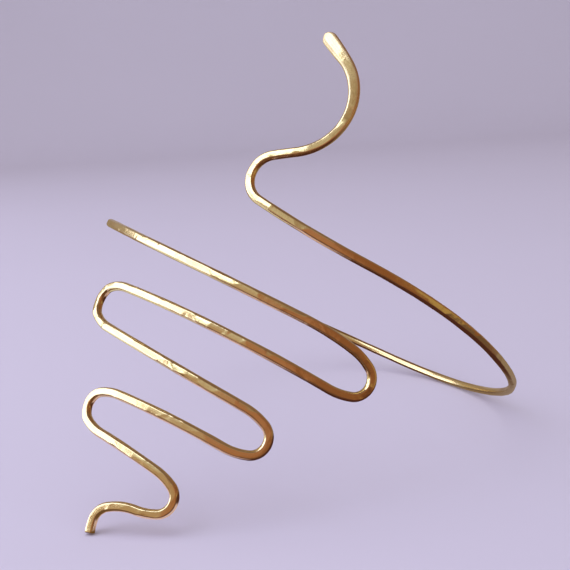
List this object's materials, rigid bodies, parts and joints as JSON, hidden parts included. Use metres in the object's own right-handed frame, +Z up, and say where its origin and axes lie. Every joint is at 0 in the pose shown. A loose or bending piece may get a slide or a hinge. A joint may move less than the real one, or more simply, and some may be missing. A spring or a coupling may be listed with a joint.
{
  "type": "upper arm cuff",
  "caption": "Spiral cuff for the upper arm: one hammered brass wire that wraps the arm once, with a curved flattened head and a zigzag tail.",
  "frame": {"origin": "on the ground under the middle of the cuff's bounding box, as it rests by itself", "axes": "+Z up; -Y towards the zigzag front; the arm's axis leans 32 degrees from +Z, towards +X and +Y"},
  "size_m": [0.081, 0.0962, 0.0785],
  "materials": {
    "hammered_brass": "hammered flat on the outer face and polished"
  },
  "bodies": {
    "root": {"cuff_wire": "hammered_brass"}
  },
  "joints": []
}
